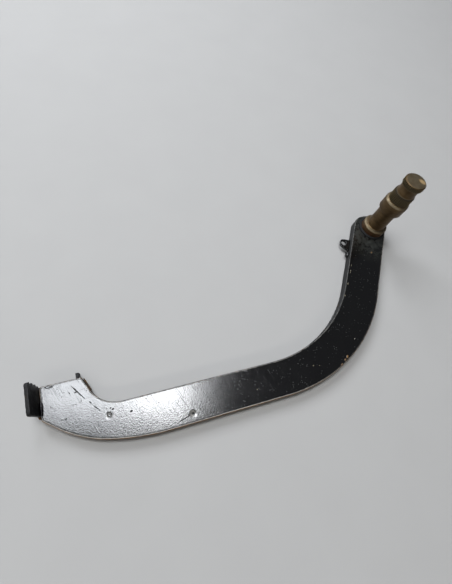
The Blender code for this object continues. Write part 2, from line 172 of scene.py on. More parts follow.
def picked(piece):
    """Indices of the vertices that are selected in edit mode."""
    mesh = bmesh.from_edit_mesh(piece.data)
    return {vertex.index for vertex in mesh.verts if vertex.select}


def merged_copy(node, name):
    """A copy of a CAD node as its own object, its loose triangles merged."""
    piece = bpy.data.objects.new(name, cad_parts[node].data.copy())
    bpy.context.scene.collection.objects.link(piece)
    piece.data.materials.clear()
    lone(piece)
    bpy.ops.object.mode_set(mode="EDIT")
    bpy.ops.mesh.select_all(action="SELECT")
    bpy.ops.mesh.remove_doubles(threshold=0.001 * MM)
    bpy.ops.object.mode_set(mode="OBJECT")
    return piece


def softened_copy(node, name, voxel, passes):
    """A copy of a CAD node as one even skin, with its corners worn round."""
    piece = merged_copy(node, name)
    apply_modifier(piece, "REMESH", mode="VOXEL", voxel_size=voxel)
    apply_modifier(piece, "SMOOTH", factor=0.5, iterations=passes)
    return piece


def hand_over(piece, material, node, smooth_angle=60.0):
    """Shades a finished piece and sets it on the frame in place of its CAD node."""
    lone(piece)
    bpy.ops.object.transform_apply(location=True, rotation=True, scale=True)
    bpy.ops.object.mode_set(mode="EDIT")
    pick(piece, lambda v: v.co.z < 0.0)
    if picked(piece):
        bpy.ops.transform.resize(value=(1.0, 1.0, 0.0), center_override=(0.0, 0.0, 0.0))
    bpy.ops.object.mode_set(mode="OBJECT")
    bpy.ops.object.shade_smooth_by_angle(angle=math.radians(smooth_angle))
    piece.data.materials.clear()
    piece.data.materials.append(material)
    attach(piece, BODY)
    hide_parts(node)


def tip_and_root(ring):
    """Radii of a ring at the tips and at the roots of its teeth, equal where it has none."""
    return ring[0], ring[2] if len(ring) == 3 else ring[0]


def is_root_point(vertex, around):
    """Whether a vertex of a turned ring is one of the two at the root of a tooth."""
    step = round(math.atan2(vertex.co.y, vertex.co.x) * around / (2.0 * math.pi))
    return step % POINTS_PER_TOOTH >= POINTS_PER_TOOTH // 2


def turned(name, rings, around):
    """Extrudes a disc upwards, ring by ring, into a turned body about Z.

    A ring is (radius, z), or (radius over the teeth, z, radius at their roots).
    """
    z = rings[0][1]
    bpy.ops.object.select_all(action="DESELECT")
    bpy.ops.mesh.primitive_circle_add(vertices=around, radius=rings[0][0], fill_type="NGON",
                                      location=(0.0, 0.0, z))
    piece = bpy.context.object
    piece.name = name
    bpy.ops.object.transform_apply(location=True, rotation=True, scale=True)
    bpy.ops.object.mode_set(mode="EDIT")
    bpy.ops.mesh.select_all(action="SELECT")
    before = tip_and_root(rings[0])
    for ring in rings[1:]:
        rise = (0.0, 0.0, ring[1] - z)
        bpy.ops.mesh.extrude_region_move(TRANSFORM_OT_translate={"value": rise})
        z = ring[1]
        top = picked(piece)
        after = tip_and_root(ring)
        for at_root in (False, True):
            pick(piece, lambda v: v.index in top and is_root_point(v, around) == at_root)
            scale = after[at_root] / before[at_root]
            bpy.ops.transform.resize(value=(scale, scale, 1.0), center_override=(0.0, 0.0, z))
        pick(piece, lambda v: v.index in top)
        before = after
    bpy.ops.mesh.select_all(action="SELECT")
    bpy.ops.mesh.remove_doubles(threshold=0.001 * MM)
    bpy.ops.mesh.normals_make_consistent(inside=False)
    bpy.ops.object.mode_set(mode="OBJECT")
    return piece


def ring_weld(name, radius, bead, z, cut_z, ripples):
    """A weld round the shaft: a torus with evenly spaced ripples.

    It is cut flat underneath at cut_z, or left whole where that is None.
    """
    bpy.ops.object.select_all(action="DESELECT")
    bpy.ops.mesh.primitive_torus_add(major_segments=6 * ripples, minor_segments=20,
                                     major_radius=radius, minor_radius=bead,
                                     location=(0.0, 0.0, z))
    piece = bpy.context.object
    piece.name = name
    bpy.ops.object.transform_apply(location=True, rotation=True, scale=True)
    bpy.ops.object.mode_set(mode="EDIT")
    crest = 0.2                   # a ripple is raised where its wave is above this
    pick(piece, lambda v: math.cos(ripples * math.atan2(v.co.y, v.co.x)) > crest)
    bpy.ops.transform.resize(value=(1.008, 1.008, 1.08), center_override=(0.0, 0.0, z))
    if cut_z is not None:
        bpy.ops.mesh.select_all(action="SELECT")
        bpy.ops.mesh.bisect(plane_co=(0.0, 0.0, cut_z), plane_no=(0.0, 0.0, 1.0),
                            clear_inner=True, use_fill=True)
    bpy.ops.object.mode_set(mode="OBJECT")
    return piece


# ---------------------------------------------------------------- material helpers

def put(tree, kind, fields=None, sockets=None):
    """Adds a shader node. A socket is given a value, or another node's output to link."""
    node = tree.nodes.new(kind)
    for name, value in (fields or {}).items():
        setattr(node, name, value)
    for name, value in (sockets or {}).items():
        if isinstance(value, bpy.types.NodeSocket):
            tree.links.new(value, node.inputs[name])
        else:
            node.inputs[name].default_value = value
    return node.outputs[0]


def new_material(name):
    """An empty node material; gives the material, its tree and its output node."""
    material = bpy.data.materials.new(name)
    material.use_nodes = True
    material.node_tree.nodes.clear()
    return material, material.node_tree, material.node_tree.nodes.new("ShaderNodeOutputMaterial")


def rgba(colour):
    return (*colour, 1.0)


# Marks on the arm's front face, in millimetres: x and y of the middle, half length, half
# width, and direction in degrees
DEEP_SCRATCHES = (
    (-257.2, -80.8, 5.6, 0.28, -54.0),
    (-258.3, -80.4, 1.2, 0.3, 8.0),
    (-247.6, -92.8, 2.7, 0.22, -48.0),
    (-250.9, -88.6, 0.9, 0.3, -50.0),
    (-238.7, -95.8, 0.7, 0.5, 10.0),
    (-240.0, -94.9, 0.6, 0.35, 40.0),
    (-228.3, -99.8, 0.9, 0.5, 15.0),
    (-191.9, -111.1, 2.0, 0.8, 12.0),
    (-197.0, -112.4, 4.8, 0.3, 16.0),
    (-265.3, -94.6, 0.5, 0.5, 0.0),
)
CHIPS = (
    (-147.0, -107.5, 0.5, 0.35, 20.0),
    (-102.0, -102.0, 0.6, 0.3, 30.0),
    (-97.6, -103.1, 0.4, 0.3, 10.0),
    (-62.2, -90.9, 0.6, 0.3, 50.0),
    (-40.1, -37.0, 2.0, 0.22, 56.0),
    (-36.6, -31.5, 1.2, 0.18, 56.0),
    (-47.2, -46.9, 1.0, 0.35, 56.0),
    (-54.4, -56.3, 0.7, 0.45, 52.0),
)
RUST_SPOTS = (
    (-73.8, -102.2, 1.2, 0.7, 60.0),
    (-76.3, -103.9, 0.9, 0.6, 30.0),
    (-80.5, -106.5, 1.2, 0.5, 30.0),
    (-12.2, -23.4, 0.9, 0.5, 50.0),
)
PRESSED_RINGS = (
    (-241.1, -98.6, 1.9, 1.3, -60.0),
    (-273.4, -73.4, 2.4, 0.9, -6.0),
)

RING_WIDTH = 0.32                 # of a pressed ring, as a share of its half length
MARK_DEPTH = 2.0 * MM             # how far below the face a mark still shows


def spots(tree, place, marks):
    """Mask of elliptical marks on the arm's front face, which fades out at their edges."""
    total = None
    for x, y, half_length, half_width, degrees in marks:
        local = put(tree, "ShaderNodeMapping", {"vector_type": "TEXTURE"}, {
            "Vector": place,
            "Location": (x * MM, y * MM, ARM_TOP),
            "Rotation": (0.0, 0.0, math.radians(degrees)),
            "Scale": (half_length * MM, half_width * MM, MARK_DEPTH),
        })
        far = put(tree, "ShaderNodeVectorMath", {"operation": "LENGTH"}, {0: local})
        far = far.node.outputs["Value"]
        mask = put(tree, "ShaderNodeMapRange", {}, {"Value": far, "From Min": 1.15, "From Max": 0.7})
        if total is None:
            total = mask
        else:
            total = put(tree, "ShaderNodeMath", {"operation": "MAXIMUM"}, {0: total, 1: mask})
    return total


def arm_enamel(colours):
    """Gloss black enamel brushed over mild steel plate, decades old.

    The eye gets a mirror-like black sheet with a fine orange peel and hairline scratches, brown rims
    where the paint has worn through, a greasy film round the shaft, and pale worn rims whose colour
    is a painted highlight.
    """
    material, tree, output = new_material("gloss_black_enamel")
    coordinates = put(tree, "ShaderNodeTexCoord").node
    place = coordinates.outputs["Object"]
    facing = put(tree, "ShaderNodeSeparateXYZ", {}, {0: coordinates.outputs["Normal"]}).node
    spot = put(tree, "ShaderNodeSeparateXYZ", {}, {0: place}).node

    # Ragged edges for the marks: the place is shifted a little by noise
    wobble = put(tree, "ShaderNodeTexNoise", {}, {
        "Vector": place, "Scale": 1.0 / (0.9 * MM), "Detail": 2.0}).node.outputs["Color"]
    reach = 0.35 * MM
    wobble = put(tree, "ShaderNodeVectorMath", {"operation": "MULTIPLY_ADD"}, {
        0: wobble, 1: (2.0 * reach,) * 3, 2: (-reach,) * 3})
    ragged = put(tree, "ShaderNodeVectorMath", {"operation": "ADD"}, {0: place, 1: wobble})
    scratches = spots(tree, ragged, DEEP_SCRATCHES)
    chips = spots(tree, ragged, CHIPS)
    rust_spots = spots(tree, ragged, RUST_SPOTS)
    ring_outside = spots(tree, ragged, PRESSED_RINGS)
    hole = 1.0 - RING_WIDTH
    ring_inside = spots(tree, ragged, [
        (x, y, hole * half_length, hole * half_width, degrees)
        for x, y, half_length, half_width, degrees in PRESSED_RINGS])
    ring = put(tree, "ShaderNodeMath", {"operation": "SUBTRACT", "use_clamp": True}, {
        0: ring_outside, 1: ring_inside})
    scratches = put(tree, "ShaderNodeMath", {"operation": "MAXIMUM"}, {0: scratches, 1: ring})

    # Where the surface is, by its tilt: wall is 1 on the plate's edge walls, rim is 1 on
    # all that isn't flat, and lower is 1 where an edge faces away from the inside bend
    flatness = put(tree, "ShaderNodeMath", {"operation": "ABSOLUTE"}, {0: facing.outputs["Z"]})
    wall = put(tree, "ShaderNodeMapRange", {}, {
        "Value": flatness, "From Min": 0.97, "From Max": 0.82})
    rim = put(tree, "ShaderNodeMapRange", {}, {
        "Value": flatness, "From Min": 0.9995, "From Max": 0.99})
    lower = put(tree, "ShaderNodeMapRange", {}, {
        "Value": facing.outputs["Y"], "From Min": 0.1, "From Max": -0.6})
    towards_tread = put(tree, "ShaderNodeMapRange", {}, {
        "Value": spot.outputs["X"], "From Min": -60.0 * MM, "From Max": -150.0 * MM})

    # Rust comes through on the walls, most on the lower one of the long stretch
    patches = put(tree, "ShaderNodeTexNoise", {}, {
        "Vector": place, "Scale": 1.0 / (6.0 * MM), "Detail": 6.0, "Roughness": 0.65})
    rust_level = put(tree, "ShaderNodeMath", {"operation": "MULTIPLY"}, {0: lower, 1: 0.34})
    rust_level = put(tree, "ShaderNodeMath", {"operation": "MULTIPLY_ADD"}, {
        0: towards_tread, 1: 0.14, 2: rust_level})
    rust_level = put(tree, "ShaderNodeMath", {"operation": "ADD"}, {0: rust_level, 1: patches})
    rusted = put(tree, "ShaderNodeMapRange", {}, {
        "Value": rust_level, "From Min": 0.62, "From Max": 0.82})
    rusted = put(tree, "ShaderNodeMath", {"operation": "MULTIPLY"}, {0: rusted, 1: wall})
    rusted = put(tree, "ShaderNodeMath", {"operation": "MAXIMUM"}, {0: rusted, 1: rust_spots})

    # Film of grease and dust round the shaft
    from_axis = put(tree, "ShaderNodeVectorMath", {"operation": "MULTIPLY"}, {
        0: place, 1: (1.0, 1.0, 0.0)})
    from_axis = put(tree, "ShaderNodeVectorMath", {"operation": "LENGTH"}, {0: from_axis})
    from_axis = from_axis.node.outputs["Value"]
    film = put(tree, "ShaderNodeMapRange", {}, {
        "Value": from_axis, "From Min": 38.0 * MM, "From Max": 16.0 * MM})
    blotches = put(tree, "ShaderNodeTexNoise", {}, {
        "Vector": place, "Scale": 1.0 / (4.0 * MM), "Detail": 7.0, "Roughness": 0.7})
    blotches = put(tree, "ShaderNodeMapRange", {}, {
        "Value": blotches, "From Min": 0.36, "From Max": 0.62})
    film = put(tree, "ShaderNodeMath", {"operation": "MULTIPLY"}, {0: film, 1: blotches})

    # Hairline scratches: noise drawn out along two directions
    hairlines = None
    for degrees, threshold in ((-66.0, 0.62), (12.0, 0.7)):
        drawn_out = put(tree, "ShaderNodeMapping", {"vector_type": "TEXTURE"}, {
            "Vector": place,
            "Rotation": (0.0, 0.0, math.radians(degrees)),
            "Scale": (16.0 * MM, 0.55 * MM, 4.0 * MM)})
        lines = put(tree, "ShaderNodeTexNoise", {}, {
            "Vector": drawn_out, "Scale": 1.0, "Detail": 2.0, "Distortion": 0.2})
        lines = put(tree, "ShaderNodeMapRange", {}, {
            "Value": lines, "From Min": threshold, "From Max": threshold + 0.1})
        if hairlines is None:
            hairlines = lines
        else:
            hairlines = put(tree, "ShaderNodeMath", {"operation": "MAXIMUM"}, {
                0: hairlines, 1: lines})

    # Specks of dust: real ones are too fine to show, so they are drawn 1.6 mm apart
    specks = put(tree, "ShaderNodeTexVoronoi", {}, {"Vector": place, "Scale": 1.0 / (1.6 * MM)})
    specks = put(tree, "ShaderNodeMapRange", {}, {
        "Value": specks, "From Min": 0.25, "From Max": 0.14})
    sparse = put(tree, "ShaderNodeMapRange", {}, {
        "Value": patches, "From Min": 0.5, "From Max": 0.62})
    specks = put(tree, "ShaderNodeMath", {"operation": "MULTIPLY"}, {0: specks, 1: sparse})

    # Colour, from the enamel up
    rust_colour = put(tree, "ShaderNodeMix", {"data_type": "RGBA"}, {
        0: blotches, 6: rgba(colours.rust), 7: rgba(colours.rust_light)}).node.outputs[2]
    colour = put(tree, "ShaderNodeMix", {"data_type": "RGBA"}, {
        0: film, 6: rgba(colours.enamel), 7: rgba(colours.enamel_dust)}).node.outputs[2]
    colour = put(tree, "ShaderNodeMix", {"data_type": "RGBA"}, {
        0: specks, 6: colour, 7: rgba(colours.enamel_dust)}).node.outputs[2]
    colour = put(tree, "ShaderNodeMix", {"data_type": "RGBA"}, {
        0: rusted, 6: colour, 7: rust_colour}).node.outputs[2]
    colour = put(tree, "ShaderNodeMix", {"data_type": "RGBA"}, {
        0: chips, 6: colour, 7: rgba(colours.chip)}).node.outputs[2]

    # Roughness: glossy enamel, dull where it is marked, rusty, dusty or worn
    smears = put(tree, "ShaderNodeTexNoise", {}, {
        "Vector": place, "Scale": 1.0 / (22.0 * MM), "Detail": 3.0})
    gloss = put(tree, "ShaderNodeMapRange", {}, {
        "Value": smears, "From Min": 0.3, "From Max": 0.7, "To Min": 0.15, "To Max": 0.2})
    dull = put(tree, "ShaderNodeMath", {"operation": "MAXIMUM"}, {0: rusted, 1: scratches})
    dull = put(tree, "ShaderNodeMath", {"operation": "MAXIMUM"}, {0: dull, 1: specks})
    dull = put(tree, "ShaderNodeMath", {"operation": "MAXIMUM"}, {0: dull, 1: wall})
    half_film = put(tree, "ShaderNodeMath", {"operation": "MULTIPLY"}, {0: film, 1: 0.55})
    dull = put(tree, "ShaderNodeMath", {"operation": "MAXIMUM"}, {0: dull, 1: half_film})
    roughness = put(tree, "ShaderNodeMix", {"data_type": "FLOAT"}, {0: dull, 2: gloss, 3: 0.85})

    # Relief: long waves and orange peel of the enamel, hairlines, cuts and gritty rust
    peel = put(tree, "ShaderNodeTexNoise", {}, {
        "Vector": place, "Scale": 1.0 / (0.9 * MM), "Detail": 2.0})
    waves = put(tree, "ShaderNodeTexNoise", {}, {
        "Vector": place, "Scale": 1.0 / (9.0 * MM), "Detail": 1.0})
    grit = put(tree, "ShaderNodeTexNoise", {}, {
        "Vector": place, "Scale": 1.0 / (0.5 * MM), "Detail": 3.0})
    grit = put(tree, "ShaderNodeMath", {"operation": "MULTIPLY"}, {0: grit, 1: rusted})
    cuts = put(tree, "ShaderNodeMath", {"operation": "MAXIMUM"}, {0: scratches, 1: chips})
    bump = put(tree, "ShaderNodeBump", {}, {
        "Height": waves, "Distance": 0.022 * MM, "Strength": 1.0})
    bump = put(tree, "ShaderNodeBump", {}, {
        "Height": peel, "Distance": 0.042 * MM, "Strength": 1.0, "Normal": bump})
    bump = put(tree, "ShaderNodeBump", {"invert": True}, {
        "Height": hairlines, "Distance": 0.016 * MM, "Strength": 1.0, "Normal": bump})
    bump = put(tree, "ShaderNodeBump", {"invert": True}, {
        "Height": cuts, "Distance": 0.12 * MM, "Strength": 1.0, "Normal": bump})
    bump = put(tree, "ShaderNodeBump", {}, {
        "Height": grit, "Distance": 0.25 * MM, "Strength": 1.0, "Normal": bump})

    # The rims are rubbed down here and there, the long stretch's lower one all along, but not the
    # walls next to them; their pale colour is a painted highlight that stands in for the light the
    # worn rims reflect
    share = put(tree, "ShaderNodeMath", {"operation": "MULTIPLY_ADD"}, {
        0: towards_tread, 1: 0.45, 2: 0.2})
    share = put(tree, "ShaderNodeMath", {"operation": "MULTIPLY"}, {0: share, 1: blotches})
    lower_rim_highlight = put(tree, "ShaderNodeMath", {"operation": "MULTIPLY"}, {0: lower, 1: towards_tread})
    share = put(tree, "ShaderNodeMath", {"operation": "MAXIMUM"}, {0: share, 1: lower_rim_highlight})
    not_wall = put(tree, "ShaderNodeMath", {"operation": "SUBTRACT"}, {0: 1.0, 1: wall})
    rubbed = put(tree, "ShaderNodeMath", {"operation": "MULTIPLY"}, {0: rim, 1: share})
    rubbed = put(tree, "ShaderNodeMath", {"operation": "MULTIPLY"}, {0: rubbed, 1: not_wall})
    colour = put(tree, "ShaderNodeMix", {"data_type": "RGBA"}, {
        0: rubbed, 6: colour, 7: rgba(colours.worn_rim_highlight)}).node.outputs[2]

    shader = put(tree, "ShaderNodeBsdfPrincipled", {}, {
        "Base Color": colour, "Roughness": roughness, "Normal": bump, "IOR": 1.6})
    tree.links.new(shader, output.inputs["Surface"])
    return material


def patchy_enamel(name, colours, lump, bare, gloss):
    """Thin black enamel over rough, cut or welded steel.

    The eye gets a dark lumpy skin that shines on its high places and shows brown where
    the paint never took. lump is the size of its lumps, bare roughly the share without
    paint, and gloss the roughness of the paint.
    """
    material, tree, output = new_material(name)
    place = put(tree, "ShaderNodeTexCoord").node.outputs["Object"]
    lumps = put(tree, "ShaderNodeTexNoise", {}, {
        "Vector": place, "Scale": 1.0 / lump, "Detail": 5.0, "Roughness": 0.6})
    patches = put(tree, "ShaderNodeTexNoise", {}, {
        "Vector": place, "Scale": 0.45 / lump, "Detail": 6.0, "Roughness": 0.7})
    unpainted = put(tree, "ShaderNodeMapRange", {}, {
        "Value": patches, "From Min": 0.72 - 0.5 * bare, "From Max": 0.84 - 0.5 * bare})
    rust_colour = put(tree, "ShaderNodeMix", {"data_type": "RGBA"}, {
        0: lumps, 6: rgba(colours.rust), 7: rgba(colours.rust_light)}).node.outputs[2]
    colour = put(tree, "ShaderNodeMix", {"data_type": "RGBA"}, {
        0: unpainted, 6: rgba(colours.enamel), 7: rust_colour}).node.outputs[2]
    roughness = put(tree, "ShaderNodeMix", {"data_type": "FLOAT"}, {
        0: unpainted, 2: gloss, 3: 0.8})
    bump = put(tree, "ShaderNodeBump", {}, {
        "Height": lumps, "Distance": 0.12 * lump, "Strength": 1.0})
    shader = put(tree, "ShaderNodeBsdfPrincipled", {}, {
        "Base Color": colour, "Roughness": roughness, "Normal": bump, "IOR": 1.45})
    tree.links.new(shader, output.inputs["Surface"])
    return material


def aged_steel(colours, sizes, bright_rings, bands):
    """Turned carbon steel, brown with age and old oil.

    The eye gets a soft metallic brown with fine turning rings, paler chamfers where it has rubbed,
    serrations whose roots are black with grease, and a painted highlight on the end face.
    bright_rings are (middle z, half height); bands are (low z, high z) of the serrations.
    """
    material, tree, output = new_material("aged_turned_steel")
    place = put(tree, "ShaderNodeTexCoord").node.outputs["Object"]
    spot = put(tree, "ShaderNodeSeparateXYZ", {}, {0: place}).node
    height = spot.outputs["Z"]
    from_axis = put(tree, "ShaderNodeVectorMath", {"operation": "MULTIPLY"}, {
        0: place, 1: (1.0, 1.0, 0.0)})
    from_axis = put(tree, "ShaderNodeVectorMath", {"operation": "LENGTH"}, {0: from_axis})
    from_axis = from_axis.node.outputs["Value"]

    clouds = put(tree, "ShaderNodeTexNoise", {}, {
        "Vector": place, "Scale": 1.0 / (5.0 * MM), "Detail": 7.0, "Roughness": 0.68})
    clouds = put(tree, "ShaderNodeMapRange", {}, {
        "Value": clouds, "From Min": 0.34, "From Max": 0.66})
    # Turning marks: real ones are too fine to show, so they are drawn 0.4 mm apart
    squeezed = put(tree, "ShaderNodeMapping", {"vector_type": "TEXTURE"}, {
        "Vector": place, "Scale": (9.0 * MM, 9.0 * MM, 0.4 * MM)})
    rings = put(tree, "ShaderNodeTexNoise", {}, {
        "Vector": squeezed, "Scale": 1.0, "Detail": 3.0})

    colour = put(tree, "ShaderNodeMix", {"data_type": "RGBA"}, {
        0: clouds, 6: rgba(colours.steel_dark), 7: rgba(colours.steel)}).node.outputs[2]
    shade = put(tree, "ShaderNodeMapRange", {}, {
        "Value": rings, "From Min": 0.3, "From Max": 0.7, "To Min": 0.8, "To Max": 1.15})
    colour = put(tree, "ShaderNodeMix", {"data_type": "RGBA", "blend_type": "MULTIPLY"}, {
        0: 1.0, 6: colour, 7: shade}).node.outputs[2]

    # Red-brown streaks that run down the collar
    drawn_down = put(tree, "ShaderNodeMapping", {"vector_type": "TEXTURE"}, {
        "Vector": place, "Scale": (2.2 * MM, 2.2 * MM, 9.0 * MM)})
    streaks = put(tree, "ShaderNodeTexNoise", {}, {
        "Vector": drawn_down, "Scale": 1.0, "Detail": 4.0})
    streaks = put(tree, "ShaderNodeMapRange", {}, {
        "Value": streaks, "From Min": 0.4, "From Max": 0.58})
    low_down = put(tree, "ShaderNodeMapRange", {}, {
        "Value": height, "From Min": ARM_TOP + sizes.collar_height + 1.0 * MM,
        "From Max": ARM_TOP + 1.0 * MM})
    stain = put(tree, "ShaderNodeMath", {"operation": "MULTIPLY"}, {0: streaks, 1: low_down})
    colour = put(tree, "ShaderNodeMix", {"data_type": "RGBA"}, {
        0: stain, 6: colour, 7: rgba(colours.streak)}).node.outputs[2]

    # Rubbed rings at the chamfers and on the end face
    rubbed = None
    for middle, half in bright_rings:
        ring = put(tree, "ShaderNodeMath", {"operation": "COMPARE"}, {
            0: height, 1: middle, 2: half})
        rubbed = ring if rubbed is None else put(
            tree, "ShaderNodeMath", {"operation": "MAXIMUM"}, {0: rubbed, 1: ring})
    patchy = put(tree, "ShaderNodeMapRange", {}, {
        "Value": clouds, "To Min": 0.2, "To Max": 0.62})
    rubbed = put(tree, "ShaderNodeMath", {"operation": "MULTIPLY"}, {0: rubbed, 1: patchy})
    colour = put(tree, "ShaderNodeMix", {"data_type": "RGBA"}, {
        0: rubbed, 6: colour, 7: rgba(colours.steel_bright)}).node.outputs[2]

    # A painted highlight: a pale warm patch on the end face that stands in for the light it catches
    highlight_patch = put(tree, "ShaderNodeMapping", {"vector_type": "TEXTURE"}, {
        "Vector": place, "Location": (4.6 * MM, -1.6 * MM, SHAFT_TOP),
        "Rotation": (0.0, 0.0, math.radians(-60.0)), "Scale": (3.4 * MM, 2.2 * MM, 0.6 * MM)})
    highlight_patch = put(tree, "ShaderNodeVectorMath", {"operation": "LENGTH"}, {0: highlight_patch})
    highlight_patch = put(tree, "ShaderNodeMapRange", {}, {
        "Value": highlight_patch.node.outputs["Value"], "From Min": 1.1, "From Max": 0.5, "To Max": 0.8})
    colour = put(tree, "ShaderNodeMix", {"data_type": "RGBA"}, {
        0: highlight_patch, 6: colour, 7: rgba(colours.end_face_highlight)}).node.outputs[2]

    # Serrations: brown at the tips of the teeth, black with grease at their roots
    deep = put(tree, "ShaderNodeMapRange", {}, {
        "Value": from_axis,
        "From Min": sizes.spline_radius - 0.02 * sizes.spline_depth,
        "From Max": sizes.spline_radius - 0.6 * sizes.spline_depth})
    banded = None
    for low, high in bands:
        band = put(tree, "ShaderNodeMath", {"operation": "COMPARE"}, {
            0: height, 1: (low + high) / 2.0, 2: (high - low) / 2.0})
        banded = band if banded is None else put(
            tree, "ShaderNodeMath", {"operation": "MAXIMUM"}, {0: banded, 1: band})
    greasy = put(tree, "ShaderNodeMath", {"operation": "MULTIPLY"}, {0: banded, 1: deep})
    tooth = put(tree, "ShaderNodeMix", {"data_type": "RGBA"}, {
        0: deep, 6: rgba(colours.tooth_tip), 7: rgba(colours.groove)}).node.outputs[2]
    colour = put(tree, "ShaderNodeMix", {"data_type": "RGBA"}, {
        0: banded, 6: colour, 7: tooth}).node.outputs[2]

    # Metal shows less under stain and grease, and is rougher there
    covered = put(tree, "ShaderNodeMath", {"operation": "MAXIMUM"}, {0: greasy, 1: stain})
    metallic = put(tree, "ShaderNodeMapRange", {}, {
        "Value": covered, "To Min": 0.8, "To Max": 0.1})
    roughness = put(tree, "ShaderNodeMapRange", {}, {
        "Value": clouds, "To Min": 0.55, "To Max": 0.42})
    roughness = put(tree, "ShaderNodeMix", {"data_type": "FLOAT"}, {
        0: covered, 2: roughness, 3: 0.75})
    pits = put(tree, "ShaderNodeTexNoise", {}, {
        "Vector": place, "Scale": 1.0 / (0.7 * MM), "Detail": 4.0, "Roughness": 0.6})
    bump = put(tree, "ShaderNodeBump", {}, {
        "Height": rings, "Distance": 0.05 * MM, "Strength": 1.0})
    bump = put(tree, "ShaderNodeBump", {}, {
        "Height": pits, "Distance": 0.08 * MM, "Strength": 1.0, "Normal": bump})
    shader = put(tree, "ShaderNodeBsdfPrincipled", {}, {
        "Base Color": colour, "Metallic": metallic, "Roughness": roughness, "Normal": bump})
    tree.links.new(shader, output.inputs["Surface"])
    return material


def floor_paint(colours):
    """Matt pale paint on a smooth board.

    The eye gets a plain floor that fades into the backdrop a long way from the lever.
    """
    material, tree, output = new_material("matt_floor_paint")
    place = put(tree, "ShaderNodeTexCoord").node.outputs["Object"]
    unevenness = put(tree, "ShaderNodeTexNoise", {}, {
        "Vector": place, "Scale": 1.0 / (40.0 * MM), "Detail": 3.0})
    shade = put(tree, "ShaderNodeMapRange", {}, {
        "Value": unevenness, "To Min": 0.97, "To Max": 1.03})
    colour = put(tree, "ShaderNodeMix", {"data_type": "RGBA", "blend_type": "MULTIPLY"}, {
        0: 1.0, 6: rgba(colours.floor), 7: shade}).node.outputs[2]
    distance = put(tree, "ShaderNodeVectorMath", {"operation": "LENGTH"}, {0: place})
    far = put(tree, "ShaderNodeMapRange", {}, {
        "Value": distance.node.outputs["Value"], "From Min": 0.5, "From Max": 2.0})
    black = (0.0, 0.0, 0.0, 1.0)
    colour = put(tree, "ShaderNodeMix", {"data_type": "RGBA"}, {
        0: far, 6: colour, 7: black}).node.outputs[2]
    glow = put(tree, "ShaderNodeMix", {"data_type": "RGBA"}, {
        0: far, 6: black, 7: rgba(linear(BACKDROP))}).node.outputs[2]
    shader = put(tree, "ShaderNodeBsdfPrincipled", {}, {
        "Base Color": colour, "Roughness": 0.85,
        "Emission Color": glow, "Emission Strength": 1.0})
    tree.links.new(shader, output.inputs["Surface"])
    return material


# ---------------------------------------------------------------- pieces

EDGE_ROUNDING = 0.14 * MM         # of the shaft's turned edges
WELD_RIPPLES = 19                 # in each ring of weld round the shaft


class LEVER_OT_plate_arm(Operator):
    """Plate arm with worn rims, dents and gloss black enamel"""

    bl_idname = "lever.plate_arm"
    bl_label = "Plate Arm"

    def execute(self, context):
        sizes = context.scene.lever_sizes
        arm = softened_copy("lever_arm", "plate_arm", sizes.arm_voxel, passes=1)
        rims = arm.vertex_groups.new(name="rims")
        tilted = [v.index for v in arm.data.vertices if 0.1 < abs(v.normal.z) < 0.97]
        rims.add(tilted, 1.0, "REPLACE")
        roughen(arm, depth=sizes.rim_wear, size=2.5 * MM, group="rims")
        self.dent(arm)
        hand_over(arm, arm_enamel(context.scene.lever_colours), "lever_arm")
        return {"FINISHED"}

    @staticmethod
    def dent(arm):
        """Presses two dents into the front face, inside the larger marks."""
        lone(arm)
        bpy.ops.object.mode_set(mode="EDIT")
        dents = (     # x, y, depth and reach in millimetres
            (-241.2, -99.0, 0.15, 1.6),
            (-191.9, -111.1, 0.2, 1.8),
        )
        bottom = 0.8 * MM         # radius that goes down all the way
        for x, y, depth, reach in dents:
            middle = Vector((x * MM, y * MM, ARM_TOP))
            pick(arm, lambda v: (v.co - middle).length < bottom)
            bpy.ops.transform.translate(
                value=(0.0, 0.0, -depth * MM), use_proportional_edit=True,
                proportional_edit_falloff="SMOOTH", proportional_size=reach * MM)
        bpy.ops.object.mode_set(mode="OBJECT")


